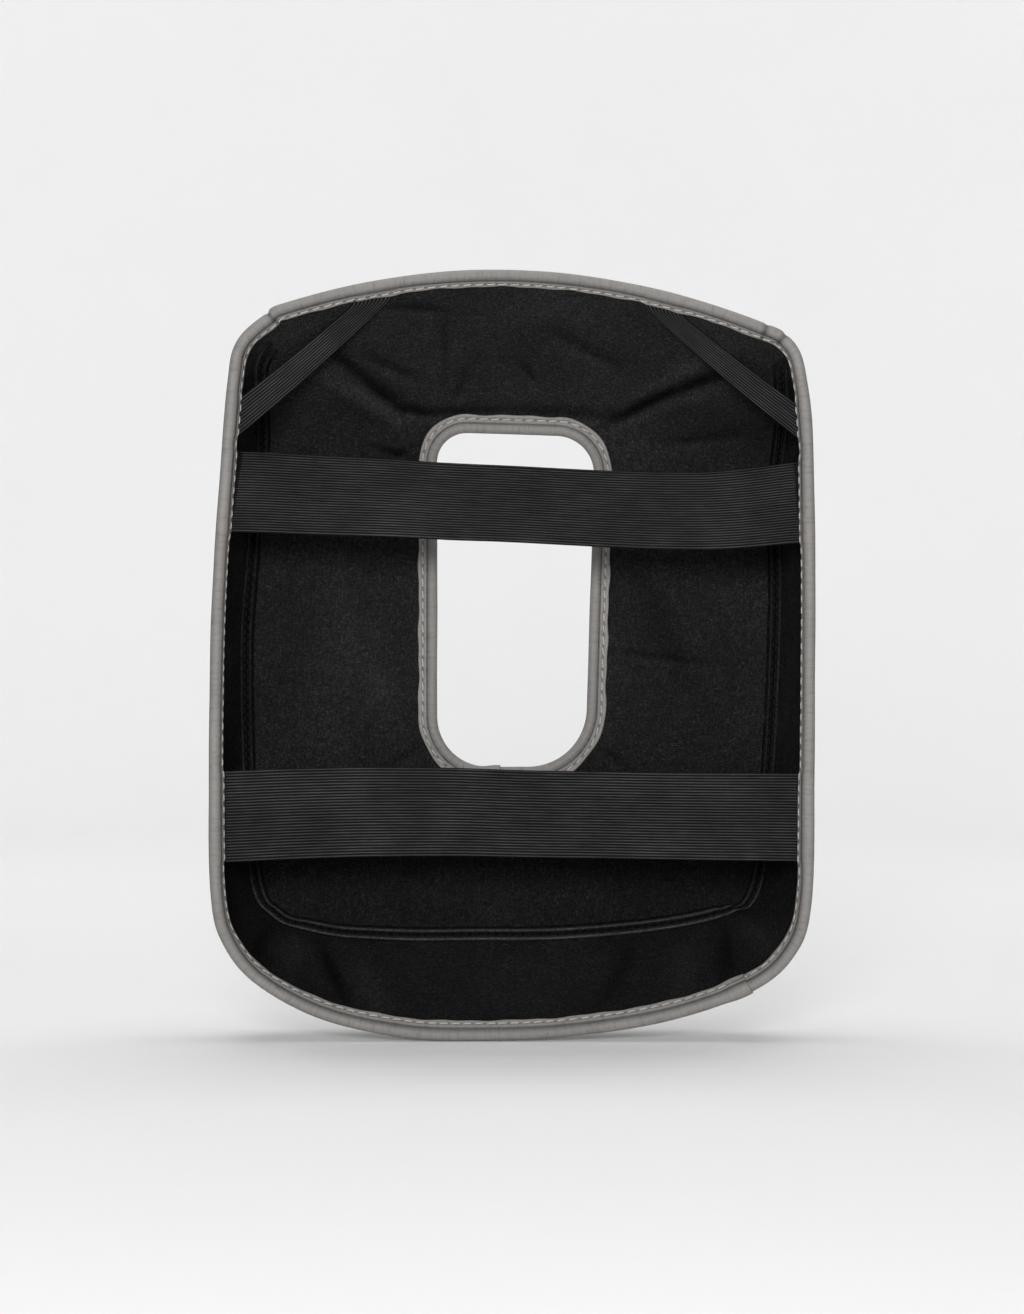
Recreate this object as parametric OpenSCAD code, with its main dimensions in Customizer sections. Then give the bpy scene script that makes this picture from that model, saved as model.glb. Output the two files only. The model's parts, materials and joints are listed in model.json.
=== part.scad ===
// Slip-on back protector: a soft tray-shaped shell that is pulled over the back of a seat.
// Upright, as it is worn: +Z is up, and the open mouth faces -Y, with its foremost edge at y = 0.
// The origin is at the foot of the mouth, in the middle. All sizes are in millimetres.

/* [Shell] */
// Depth of the pocket, from the mouth to the lining of the back panel
pocket_depth = 68; // [62:1:72]
// Thickness of the felt lining
felt_t = 3.4; // [2.6:0.2:3.8]
// Thickness of the outer skin
skin_t = 1.2; // [0.8:0.1:1.4]
// How far the rim falls back at the top edge
top_setback = 8; // [4:1:12]
// How far the rim falls back at the bottom edge
foot_setback = 14; // [8:1:18]
// Height of the slope from the bend of the back panel up to the top edge
slope_rise = 66; // [60:1:70]
// How far the back panel bulges out between its seams
panel_crown = 3; // [0:0.5:5]

/* [Window] */
// Width of the window in the panels, under its binding
window_w = 93; // [84:1:96]
// Height of the window in the panels, under its binding
window_h = 196; // [180:1:200]
// Radius of the window's upper corners
window_top_r = 20; // [14:1:26]
// Radius of the window's lower corners
window_foot_r = 31; // [24:1:36]

/* [Binding] */
// Thickness of the binding strip
binding_t = 0.8; // [0.6:0.1:1]
// Length of each leg of the folded binding strip
binding_leg = 8; // [6:0.5:9]
// Distance from one stitch of the binding to the next
stitch_pitch = 6.5; // [5:0.5:9]

/* [Elastics] */
// Width of the two wide elastics across the mouth
wide_w = 49; // [44:1:52]
// Width of the two narrow elastics across the upper corners
narrow_w = 15.5; // [12:0.5:18]
// Thickness of the elastics
elastic_t = 1.4; // [1:0.1:1.6]
// Tilt of the upper elastic, its top edge lying deeper in the pocket
upper_tilt = 24; // [0:1:28]
// Sag of the upper elastic at its middle
upper_sag = 8; // [0:1:10]

/* [Hidden] */

// Rim of the gusset, at the lining's face: down the left side, along the bottom, up the right side.
// Each row is x, z, and how far the wall leans inwards from +Y, in degrees.
gusset_rim = [
    [-130.5, 396.5, 38], [-146, 382, 24], [-150.5, 361, 12], [-154.5, 307, 6], [-157.2, 262, 5],
    [-159, 217, 4],
    [-160, 142, 6], [-159, 82.5, 9], [-153.5, 57, 16], [-137, 35.5, 25], [-103, 16.7, 34],
    [-58.5, 6.6, 39], [-17, 5, 40], [31, 7.2, 39], [86, 16.2, 36], [130.5, 32.5, 30],
    [151, 51.5, 25], [158.3, 78.5, 14], [159.5, 142, 9], [160, 232, 6], [159.8, 285, 6], [159, 337, 5.5],
    [155.8, 365, 9], [152.4, 377.5, 18], [145.5, 385.7, 36],
];
rim_steps = 4;         // stations from one row of gusset_rim to the next
top_steps = 24;        // stations along the top edge
top_z = 418.7;         // highest point of the top edge, at the lining's face
top_x = -9;            // and where it is
top_r = 365;           // radius of the top edge
bend_soft = 0.16;      // share of the slope that the bend at its foot takes up
crown_w = 148;         // half of the width that the crown spans
crown_h = 155;         // half of the height that it spans
crown_z = 205;         // height of its middle
window_x = 1.7;        // middle of the window
window_z = 243.5;      // and its height
window_taper = 2.3;    // how much further in the window's right side stands at its foot
arc_steps = 6;         // steps in each rounded corner of the window
panel_rings = 5;       // rings of the panels, from the window's collar to the seam allowance
wall_t = felt_t + skin_t;
glue = 0.1;            // gap between the layers
lay = 0.4;             // gap under a seam allowance or a stitch
seat = 0.4;            // gap where one piece butts against another
fold = 0.25;           // gap inside the folded binding
allowance_w = 6;       // width of the seam allowance on the back panel
allowance_t = 2.2;     // how high it stands on the panel
thread_d = 0.8;        // thickness of the sewing thread
clear = 0.4;           // gap from a moving elastic to its sewn end
sewn_leg = 10;         // length of an elastic's end that lies along the wall
seam_pitch = 8;        // distance between the stitches of the inner seam
black_felt = "#1b1b1b";
grey_skin = "#8c8884";
black_elastic = "#2b2b2b";
pale_thread = "#b8b0a6";

function unit(v) = v / norm(v);
function mix(a, b, t) = a + (b - a) * t;
function ease(t) = let (c = min(1, max(0, t))) c * c * (3 - 2 * c);
function last(v) = v[len(v) - 1];

// Catmull-Rom curve through rows p, from row i to the next.
function spline(p, i, t) =
    let (a = p[max(0, i - 1)], b = p[i], c = p[i + 1], d = p[min(len(p) - 1, i + 2)])
    0.5 * (2 * b + (c - a) * t + (2 * a - 5 * b + 4 * c - d) * t * t
        + (3 * b - a - 3 * c + d) * t * t * t);

// Lengths along an open path, from its first point to each of the others.
function lengths(p) =
    [for (i = 0, s = 0; i < len(p); s = s + (i + 1 < len(p) ? norm(p[i + 1] - p[i]) : 0), i = i + 1) s];

// Point at distance s along a path whose lengths are d.
function along(p, d, s) =
    [for (k = [0 : len(p[0]) - 1]) lookup(s, [for (i = [0 : len(p) - 1]) [d[i], p[i][k]]])];

// Height of the top edge above a place across the shell.
function top_edge(x) = top_z - pow(x - top_x, 2) / (2 * top_r);

// How far back the rim stands at a height.
function rim_y(z) = top_setback * ease((z - 250) / 135) + foot_setback * ease((90 - z) / 90);

// A ramp from 0 to 1 that turns level over a soft bend.
function ramp(u) =
    u < 1 - bend_soft ? u :
    u > 1 + bend_soft ? 1 :
    u - pow(u - 1 + bend_soft, 2) / (4 * bend_soft);

// Depth of the back panel's lining at a place: level, crowned, and sloping forward to the top edge.
function panel_y(x, z) =
    let (u = (top_edge(x) - z) / slope_rise,
         cx = max(0, 1 - pow(x / crown_w, 2)),
         cz = max(0, 1 - pow((z - crown_z) / crown_h, 2)))
    top_setback + (pocket_depth - top_setback) * ramp(u) + panel_crown * cx * cz;

// A point h above the panel's lining; h is negative within the panel and behind it.
function on_panel(p, h) =
    let (x = p[0], z = p[1], d = 0.5,
         fx = (panel_y(x + d, z) - panel_y(x - d, z)) / (2 * d),
         fz = (panel_y(x, z + d) - panel_y(x, z - d)) / (2 * d))
    [x, panel_y(x, z), z] + h * unit([fx, -1, fz]);

// Stations round the whole rim: x, z and lean. The first ones belong to the gusset.
side_rim = [for (i = [0 : len(gusset_rim) - 2]) for (k = [0 : rim_steps - 1]) spline(gusset_rim, i, k / rim_steps)];
gusset_n = len(side_rim) + 1;
top_rim = [for (k = [1 : top_steps - 1])
    let (x = mix(last(gusset_rim)[0], gusset_rim[0][0], k / top_steps)) [x, top_edge(x), undef]];
rim = concat(side_rim, [last(gusset_rim)], top_rim);
rim_n = len(rim);

function rim_at(i) = rim[(i + rim_n) % rim_n];
function inward(i) =
    let (a = rim_at(i - 1), b = rim_at(i + 1), t = unit([b[0] - a[0], b[1] - a[1]])) [-t[1], t[0]];
function lean(i) =
    let (r = rim_at(i), n = inward(i))
    is_undef(r[2]) ? atan2(1, panel_y(r[0] + n[0], r[1] + n[1]) - panel_y(r[0], r[1])) : r[2];

// Frames of the rim: edge point, direction down the wall, direction into the pocket.
frames = [for (i = [0 : rim_n - 1])
    let (r = rim[i], n = inward(i), a = lean(i), y = is_undef(r[2]) ? top_setback : rim_y(r[1]))
    [[r[0], y, r[1]], [sin(a) * n[0], cos(a), sin(a) * n[1]], [cos(a) * n[0], -sin(a), cos(a) * n[1]]]];

// A point w down the wall from the rim and h above its lining.
function on_wall(i, w, h) = let (f = frames[i]) f[0] + w * f[1] + h * f[2];

// Length of the wall at height h, down to the back panel.
function reach(i, h, low = 0, high = 110, turns = 18) =
    turns == 0 ? max(low, 0.8) :
    let (mid = (low + high) / 2, p = on_wall(i, mid, h))
    p[1] < panel_y(p[0], p[2]) - seat ? reach(i, h, mid, high, turns - 1) : reach(i, h, low, mid, turns - 1);

// Outline of the back panel, as x and z, g outside the face of the lining.
function seam_point(i, g) = let (p = on_wall(i, reach(i, -g), -g)) [p[0], p[2]];
panel_edge = concat(
    [for (i = [0 : gusset_n - 1]) seam_point(i, wall_t + glue)],
    [for (r = top_rim) [r[0], r[1]]]);

// Line of the panel under the lining's face of the wall, or as far in from the top edge.
function seam_ring(i) = i < gusset_n ? seam_point(i, 0) : panel_edge[i] + wall_t * inward(i);

// Outline of the window, from its upper left corner down the left side and round.
function corner(x, z, r, from) =
    [for (k = [0 : arc_steps]) let (a = from + 90 * k / arc_steps) [x + r * cos(a), z + r * sin(a)]];
function window_outline() =
    let (l = window_x - window_w / 2, r = window_x + window_w / 2,
         t = window_z + window_h / 2, b = window_z - window_h / 2)
    concat(
        corner(l + window_top_r, t - window_top_r, window_top_r, 90),
        corner(l + window_foot_r, b + window_foot_r, window_foot_r, 180),
        corner(r - window_taper - window_foot_r, b + window_foot_r, window_foot_r, 270),
        corner(r - window_top_r, t - window_top_r, window_top_r, 0));

// A closed path cut into n stations, the first one halfway round its first corner.
function stations(p, fractions) =
    let (q = concat([for (i = [0 : len(p) - 1]) p[(i + arc_steps / 2) % len(p)]], [p[arc_steps / 2]]),
         d = lengths(q))
    [for (f = fractions) along(q, d, f * last(d))];

edge_loop = concat(panel_edge, [panel_edge[0]]);
edge_d = lengths(edge_loop);
window_loop = stations(window_outline(), [for (i = [0 : rim_n - 1]) edge_d[i] / last(edge_d)]);
window_n = 72;
window_path = stations(window_outline(), [for (i = [0 : window_n - 1]) i / window_n]);

function outward(p, i) =
    let (n = len(p), t = unit(p[(i + 1) % n] - p[(i + n - 1) % n])) [t[1], -t[0]];
function on_window(i, w, h) = on_panel(window_path[i] + w * outward(window_path, i), h);

// A tube through rings of equal length, closed on itself or capped at its two ends.
// Its far half is cut along the other diagonal, so that layers that lie face to face match.
module loft(rings, closed) {
    n = len(rings);
    m = len(rings[0]);
    sides = [for (i = [0 : n - (closed ? 1 : 2)]) for (k = [0 : m - 1])
        let (a = i * m, b = ((i + 1) % n) * m, l = (k + 1) % m)
        for (tri = k < m / 2 ? [[a + k, b + k, b + l], [a + k, b + l, a + l]]
                             : [[a + k, b + k, a + l], [b + k, b + l, a + l]]) tri];
    caps = closed ? [] : [[for (k = [0 : m - 1]) k], [for (k = [m - 1 : -1 : 0]) (n - 1) * m + k]];
    polyhedron([for (r = rings) for (p = r) p], concat(sides, caps));
}

// One layer of the back panel between heights h0 and h1, a ring of stations round the window.
module panel_layer(h0, h1) {
    loft([for (i = [0 : rim_n - 1])
        let (collar = window_loop[i] + (binding_leg + 0.4) * outward(window_loop, i),
             seam = seam_ring(i),
             hem = seam + (0.8 + allowance_w) * inward(i),
             path = concat([window_loop[i]], [for (k = [0 : panel_rings]) mix(collar, hem, k / panel_rings)],
                 [seam, panel_edge[i]]))
        concat([for (p = path) on_panel(p, h0)],
            [for (k = [len(path) - 1 : -1 : 0]) on_panel(path[k], h1)])], true);
}

// One layer of the gusset between heights h0 and h1. It starts and ends where it is deep enough
// to clear the panel.
gusset_from = 3;
gusset_to = gusset_n - 6;
module gusset_layer(h0, h1) {
    loft([for (i = [gusset_from : gusset_to])
        [on_wall(i, 0, h0), on_wall(i, reach(i, h0), h0), on_wall(i, reach(i, h1), h1), on_wall(i, 0, h1)]],
        false);
}

// Section of the folded binding strip, as w and h, round an edge that lies at w = 0.
binding_section =
    let (top = fold + binding_t, foot = -wall_t - glue - fold - binding_t,
         r = (top - foot) / 2, mid = (top + foot) / 2)
    concat(
        [[binding_leg, fold], [binding_leg, top]],
        [for (k = [0 : 5]) [-fold - r * sin(36 * k), mid + r * cos(36 * k)]],
        [[binding_leg, foot], [binding_leg, foot + binding_t], [-fold, foot + binding_t], [-fold, fold]]);

// A stitch of the given length lying at point p, along a, on a surface with normal n.
module stitch(p, a, n, length) {
    e = unit(a);
    f = unit(cross(n, e));
    g = cross(e, f);
    multmatrix([
        [e[0], f[0], g[0], p[0]],
        [e[1], f[1], g[1], p[1]],
        [e[2], f[2], g[2], p[2]],
        [0, 0, 0, 1]])
        translate([-length / 2, -thread_d / 2, 0])
        cube([length, thread_d, thread_d]);
}

// A row of stitches along a path of points and normals, each stitch filling most of the pitch.
module stitch_row(points, normals, pitch, fill = 0.7) {
    d = lengths(points);
    count = floor(last(d) / pitch);
    for (i = [0 : count - 1]) {
        s = (i + 0.5) * last(d) / count;
        a = along(points, d, s - pitch * fill / 2);
        b = along(points, d, s + pitch * fill / 2);
        stitch((a + b) / 2, b - a, along(normals, d, s), pitch * fill);
    }
}

// A flat band through rows of centre, width vector and thickness vector.
module band(rows) {
    loft([for (r = rows)
        [r[0] - r[1] / 2 - r[2] / 2, r[0] + r[1] / 2 - r[2] / 2,
         r[0] + r[1] / 2 + r[2] / 2, r[0] - r[1] / 2 + r[2] / 2]], false);
}

// Panels and gussets.
module outer_panel() color(grey_skin) panel_layer(-felt_t - glue, -wall_t - glue);
module lining_panel() color(black_felt) panel_layer(0, -felt_t);
module outer_gusset() color(grey_skin) gusset_layer(-felt_t - glue, -wall_t - glue);
module lining_gusset() color(black_felt) gusset_layer(0, -felt_t);

// The turned-in seam allowance, lying on the back panel beside the seam.
seam_from = gusset_from + 2;
seam_to = gusset_to - 2;
function beside_seam(i, a, h) =
    let (p = seam_point(i, 0), n = inward(i)) on_panel([p[0] + a * n[0], p[1] + a * n[1]], h);
module seam_allowance() color(black_felt)
    loft([for (i = [seam_from : seam_to])
        [beside_seam(i, 0.8, 2 * lay), beside_seam(i, 0.8 + allowance_w, 2 * lay),
         beside_seam(i, 0.8 + allowance_w, allowance_t), beside_seam(i, 0.8, allowance_t)]], false);

module seam_stitches(a) {
    h = allowance_t + lay;
    foot = [for (i = [seam_from : seam_to]) beside_seam(i, a, h)];
    head = [for (i = [seam_from : seam_to]) beside_seam(i, a, h + 1)];
    stitch_row(foot, head - foot, seam_pitch);
}
module seam_stitches_panel_side() color(black_elastic) seam_stitches(allowance_w - 0.4);
module seam_stitches_gusset_side() color(black_elastic) seam_stitches(2);

// Bindings and their stitching.
stitch_w = binding_leg - 2.5;
stitch_h = fold + binding_t + lay;
module rim_binding() color(grey_skin)
    loft([for (i = [0 : rim_n - 1]) [for (q = binding_section) on_wall(i, q[0], q[1])]], true);
module rim_binding_stitches() color(pale_thread)
    stitch_row(
        [for (i = [0 : rim_n]) on_wall(i % rim_n, stitch_w, stitch_h)],
        [for (i = [0 : rim_n]) frames[i % rim_n][2]], stitch_pitch);
module window_binding() color(grey_skin)
    loft([for (i = [0 : window_n - 1]) [for (q = binding_section) on_window(i, q[0], q[1])]], true);
module window_binding_stitches() color(pale_thread) {
    foot = [for (i = [0 : window_n]) on_window(i % window_n, stitch_w, stitch_h)];
    head = [for (i = [0 : window_n]) on_window(i % window_n, stitch_w, stitch_h + 1)];
    stitch_row(foot, head - foot, stitch_pitch);
}

// Wide elastics: left end, right end, sag and tilt. The ends turn along the side walls.
upper = [[-148.8, 19, 299], [154, 19, 295], upper_sag, upper_tilt];
lower = [[-156.2, 11, 124], [154, 11, 123.5], 0, 0];
wide_steps = 12;
sewn_share = 0.02;
function wide_row(e, t) =
    [mix(e[0], e[1], t) - [0, 0, e[2] * 4 * t * (1 - t)],
     wide_w * [0, sin(e[3]), cos(e[3])], elastic_t * [0, cos(e[3]), -sin(e[3])]];
module wide_elastic(e) {
    from = sewn_share + clear / norm(e[1] - e[0]);
    band([for (k = [0 : wide_steps]) wide_row(e, mix(from, 1 - from, k / wide_steps))]);
}
module wide_end(e, side) {
    t = side < 0 ? 0 : 1;
    run = wide_row(e, side < 0 ? sewn_share : 1 - sewn_share);
    turn = wide_row(e, t);
    wall = [-side * elastic_t, 0, 0];
    band([run, [turn[0], turn[1], turn[2] + wall],
        [turn[0] + sewn_leg * unit([-side * 0.09, 1, 0]), turn[1], wall]]);
}
module upper_elastic() color(black_elastic) wide_elastic(upper);
module upper_elastic_left_end() color(black_elastic) wide_end(upper, -1);
module upper_elastic_right_end() color(black_elastic) wide_end(upper, 1);
module lower_elastic() color(black_elastic) wide_elastic(lower);
module lower_elastic_left_end() color(black_elastic) wide_end(lower, -1);
module lower_elastic_right_end() color(black_elastic) wide_end(lower, 1);

// Narrow elastics: upper end, side end, and the oblique cut at each. They dip into the pocket.
left_corner = [[-75, 12.5, 404], [-147.4, 12, 341], [18.5, 0, 3.4], [0.6, 0, -21]];
right_corner = [[83, 12.2, 399], [153.8, 12, 339.7], [-20.5, 0, 3.7], [0, 0, -19.5]];
corner_share = 0.08;
corner_dip = 9;
cut_scale = narrow_w / 15.5;
function corner_row(e, t) =
    let (run = e[1] - e[0] + [0, corner_dip * 4 * (1 - 2 * t), 0], w = cut_scale * mix(e[2], e[3], t))
    [mix(e[0], e[1], t) + [0, corner_dip * 4 * t * (1 - t), 0], w, elastic_t * unit(cross(run, w))];
module corner_elastic(e, from, to, steps) {
    band([for (k = [0 : steps]) corner_row(e, mix(from, to, k / steps))]);
}
corner_gap = corner_share + 0.006;
module left_corner_elastic() color(black_elastic) corner_elastic(left_corner, corner_gap, 1 - corner_gap, 8);
module left_corner_elastic_top_end() color(black_elastic) corner_elastic(left_corner, 0, corner_share, 1);
module left_corner_elastic_side_end() color(black_elastic) corner_elastic(left_corner, 1 - corner_share, 1, 1);
module right_corner_elastic() color(black_elastic) corner_elastic(right_corner, corner_gap, 1 - corner_gap, 8);
module right_corner_elastic_top_end() color(black_elastic) corner_elastic(right_corner, 0, corner_share, 1);
module right_corner_elastic_side_end() color(black_elastic) corner_elastic(right_corner, 1 - corner_share, 1, 1);

outer_panel();
outer_gusset();
lining_panel();
lining_gusset();
seam_allowance();
seam_stitches_panel_side();
seam_stitches_gusset_side();
rim_binding();
rim_binding_stitches();
window_binding();
window_binding_stitches();
upper_elastic();
upper_elastic_left_end();
upper_elastic_right_end();
lower_elastic();
lower_elastic_left_end();
lower_elastic_right_end();
left_corner_elastic();
left_corner_elastic_top_end();
left_corner_elastic_side_end();
right_corner_elastic();
right_corner_elastic_top_end();
right_corner_elastic_side_end();
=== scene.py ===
# Looks of the slip-on back protector: a felt-lined shell with its bindings, stitching and elastics.
import json
import math
import bmesh
import bpy
import numpy as np
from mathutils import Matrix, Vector, noise

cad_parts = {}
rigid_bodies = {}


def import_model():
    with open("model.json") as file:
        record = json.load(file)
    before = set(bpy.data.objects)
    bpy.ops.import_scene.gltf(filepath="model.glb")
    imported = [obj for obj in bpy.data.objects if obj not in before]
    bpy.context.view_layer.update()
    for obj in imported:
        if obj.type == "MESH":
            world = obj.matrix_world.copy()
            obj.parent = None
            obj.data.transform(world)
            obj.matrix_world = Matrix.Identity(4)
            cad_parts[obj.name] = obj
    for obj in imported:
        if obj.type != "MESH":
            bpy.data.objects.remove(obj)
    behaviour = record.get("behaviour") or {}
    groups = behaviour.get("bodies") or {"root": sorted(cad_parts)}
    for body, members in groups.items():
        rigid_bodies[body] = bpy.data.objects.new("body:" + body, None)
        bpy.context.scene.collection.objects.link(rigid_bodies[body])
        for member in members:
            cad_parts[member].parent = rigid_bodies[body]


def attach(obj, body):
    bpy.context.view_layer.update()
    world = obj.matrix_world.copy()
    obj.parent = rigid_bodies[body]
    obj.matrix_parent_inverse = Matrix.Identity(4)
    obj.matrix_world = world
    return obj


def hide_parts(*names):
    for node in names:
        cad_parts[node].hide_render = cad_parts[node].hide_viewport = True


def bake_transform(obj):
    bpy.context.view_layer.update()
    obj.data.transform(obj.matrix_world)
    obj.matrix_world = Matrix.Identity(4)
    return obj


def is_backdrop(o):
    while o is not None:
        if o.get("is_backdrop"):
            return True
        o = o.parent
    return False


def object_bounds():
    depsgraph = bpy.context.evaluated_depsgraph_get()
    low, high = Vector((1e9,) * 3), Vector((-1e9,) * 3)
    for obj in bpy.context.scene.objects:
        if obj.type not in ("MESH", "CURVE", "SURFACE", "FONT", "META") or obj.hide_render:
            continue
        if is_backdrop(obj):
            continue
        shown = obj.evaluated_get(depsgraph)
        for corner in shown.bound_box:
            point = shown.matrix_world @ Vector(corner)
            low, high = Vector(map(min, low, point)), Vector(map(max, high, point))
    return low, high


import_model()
cad_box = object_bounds()
MM = 0.001

# ---------------------------------------------------------------- shell: driving sizes, as in the CAD
pocket_depth = 68.0
felt_t = 3.4
skin_t = 1.2
wall_t = felt_t + skin_t
top_setback = 8.0
foot_setback = 14.0
slope_rise = 66.0
panel_crown = 3.0
crown_w, crown_h, crown_z = 148.0, 155.0, 205.0
bend_soft = 0.16
top_z, top_x, top_r = 418.7, -9.0, 365.0
window_x, window_z = 1.7, 243.5
window_w, window_h = 93.0, 196.0
window_top_r, window_foot_r, window_taper = 20.0, 31.0, 2.3
stitch_pitch = 6.5

# Rim of the gusset at the lining's face: x, z and the wall's lean from +Y in degrees.
gusset_rim = np.array([
    [-130.5, 396.5, 38], [-146, 382, 24], [-150.5, 361, 12], [-154.5, 307, 6], [-157.2, 262, 5], [-159, 217, 4],
    [-160, 142, 6], [-159, 82.5, 9], [-153.5, 57, 16], [-137, 35.5, 25], [-103, 16.7, 34],
    [-58.5, 6.6, 39], [-17, 5, 40], [31, 7.2, 39], [86, 16.2, 36], [130.5, 32.5, 30],
    [151, 51.5, 25], [158.3, 78.5, 14], [159.5, 142, 9], [160, 232, 6], [159.8, 285, 6], [159, 337, 5.5],
    [155.8, 365, 9], [152.4, 377.5, 18], [145.5, 385.7, 36],
])


# ---------------------------------------------------------------- small helpers
def ease(t):
    c = np.clip(t, 0, 1)
    return c * c * (3 - 2 * c)


def unit(v):
    return v / np.linalg.norm(v, axis=-1, keepdims=True)


def bump(x, centre, width):
    return np.exp(-(((x - centre) / width) ** 2))


def wobble(points, scale, seed=0.0):
    """Smooth noise from -1 to 1 at each point; scale is its grain in mm."""
    flat = np.asarray(points, float).reshape(-1, 3) / scale
    out = [noise.noise(Vector((p[0] + seed, p[1] - seed, p[2] + 2 * seed))) for p in flat]
    return np.array(out).reshape(np.shape(points)[:-1])


def catmull(rows, steps):
    """Dense points of a Catmull-Rom curve through rows, both ends included."""
    out = []
    n = len(rows)
    for i in range(n - 1):
        a, b, c, d = rows[max(0, i - 1)], rows[i], rows[i + 1], rows[min(n - 1, i + 2)]
        for k in range(steps):
            t = k / steps
            out.append(0.5 * (2 * b + (c - a) * t + (2 * a - 5 * b + 4 * c - d) * t ** 2
                              + (3 * b - a - 3 * c + d) * t ** 3))
    out.append(rows[-1])
    return np.array(out)


def lengths(points):
    return np.concatenate([[0.0], np.cumsum(np.linalg.norm(np.diff(points, axis=0), axis=1))])


def resample(points, at, along=None):
    """Rows of an array at the given distances along it."""
    d = lengths(points if along is None else along)
    return np.stack([np.interp(at, d, points[:, k]) for k in range(points.shape[1])], axis=1)


# ---------------------------------------------------------------- shell: surfaces
def top_edge(x):
    return top_z - (x - top_x) ** 2 / (2 * top_r)


def rim_y(z):
    return top_setback * ease((z - 250) / 135) + foot_setback * ease((90 - z) / 90)


def ramp(u):
    soft = u - (u - 1 + bend_soft) ** 2 / (4 * bend_soft)
    return np.where(u < 1 - bend_soft, u, np.where(u > 1 + bend_soft, 1.0, soft))


def panel_y(x, z):
    u = (top_edge(x) - z) / slope_rise
    cx = np.maximum(0, 1 - (x / crown_w) ** 2)
    cz = np.maximum(0, 1 - ((z - crown_z) / crown_h) ** 2)
    return top_setback + (pocket_depth - top_setback) * ramp(u) + panel_crown * cx * cz


def panel_slopes(x, z, d=0.5):
    fx = (panel_y(x + d, z) - panel_y(x - d, z)) / (2 * d)
    fz = (panel_y(x, z + d) - panel_y(x, z - d)) / (2 * d)
    return fx, fz


def panel_normal(x, z):
    fx, fz = panel_slopes(x, z)
    return unit(np.stack([fx, -np.ones_like(fx), fz], axis=-1))


def panel_depth(x, z, h):
    """Depth of the surface that lies h above the panel's lining."""
    fx, fz = panel_slopes(x, z)
    return panel_y(x, z) - h * np.sqrt(1 + fx ** 2 + fz ** 2)


# The rim as one closed path of even stations, with a frame at each.
side = catmull(gusset_rim, 24)
side = np.column_stack([side[:, 0], rim_y(side[:, 1]), side[:, 1], side[:, 2]])
top_line = np.linspace(gusset_rim[-1, 0], gusset_rim[0, 0], 240)[1:-1]
top_lean = 47.0     # about; worked out below from the panel's own slope
top = np.column_stack([top_line, np.full_like(top_line, top_setback), top_edge(top_line),
                       np.full_like(top_line, top_lean)])
rim_path = np.vstack([side, top, side[:1]])
rim_length = lengths(rim_path[:, :3])[-1]
corner_at = lengths(side[:, :3])[-1]
RIM_N = 640
rim = resample(rim_path, np.arange(RIM_N) * rim_length / RIM_N, rim_path[:, :3])
rim_s = np.arange(RIM_N) * rim_length / RIM_N
GUSSET_N = int(round(corner_at / rim_length * RIM_N)) + 1


def around(a, width):
    """Running mean of a closed array of rows."""
    k = int(width)
    return sum(np.roll(a, j, axis=0) for j in range(-k, k + 1)) / (2 * k + 1)


tangent = unit(around(np.roll(rim[:, [0, 2]], -1, axis=0) - np.roll(rim[:, [0, 2]], 1, axis=0), 1))
rim_in = np.column_stack([-tangent[:, 1], tangent[:, 0]])
top_part = np.arange(RIM_N) >= GUSSET_N
fall = panel_y(rim[:, 0] + rim_in[:, 0], rim[:, 2] + rim_in[:, 1]) - panel_y(rim[:, 0], rim[:, 2])
lean = np.where(top_part, np.degrees(np.arctan2(1.0, fall)), rim[:, 3])
lean = np.radians(around(lean[:, None], 3)[:, 0])
down = np.column_stack([np.sin(lean) * rim_in[:, 0], np.cos(lean), np.sin(lean) * rim_in[:, 1]])
into = np.column_stack([np.cos(lean) * rim_in[:, 0], -np.sin(lean), np.cos(lean) * rim_in[:, 1]])
edge = rim[:, :3]


def at_rim(s, table):
    """Value of a per-station table at distance s round the rim."""
    q = (np.asarray(s, float) % rim_length) / rim_length * RIM_N
    i = np.floor(q).astype(int) % RIM_N
    f = (q - np.floor(q))[..., None]
    return table[i] * (1 - f) + table[(i + 1) % RIM_N] * f


def on_wall(s, w, h):
    w, h = np.asarray(w, float)[..., None], np.asarray(h, float)[..., None]
    return at_rim(s, edge) + w * unit(at_rim(s, down)) + h * unit(at_rim(s, into))


def reach(s, h):
    """Length of the wall down to the back panel, for the layer at height h."""
    low, high = np.zeros(np.shape(s)), np.full(np.shape(s), 115.0)
    for _ in range(24):
        mid = (low + high) / 2
        p = on_wall(s, mid, h)
        above = p[..., 1] < panel_depth(p[..., 0], p[..., 2], h)
        low, high = np.where(above, mid, low), np.where(above, high, mid)
    return low


def station_at_height(z, right):
    """Distance round the rim of the place on one side wall at height z."""
    part = (rim[:, 0] > 0) if right else (rim[:, 0] < 0)
    ok = part & (np.arange(RIM_N) < GUSSET_N)
    zs, ss = rim[ok, 2], rim_s[ok]
    order = np.argsort(zs)
    return np.interp(z, zs[order], ss[order])


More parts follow.
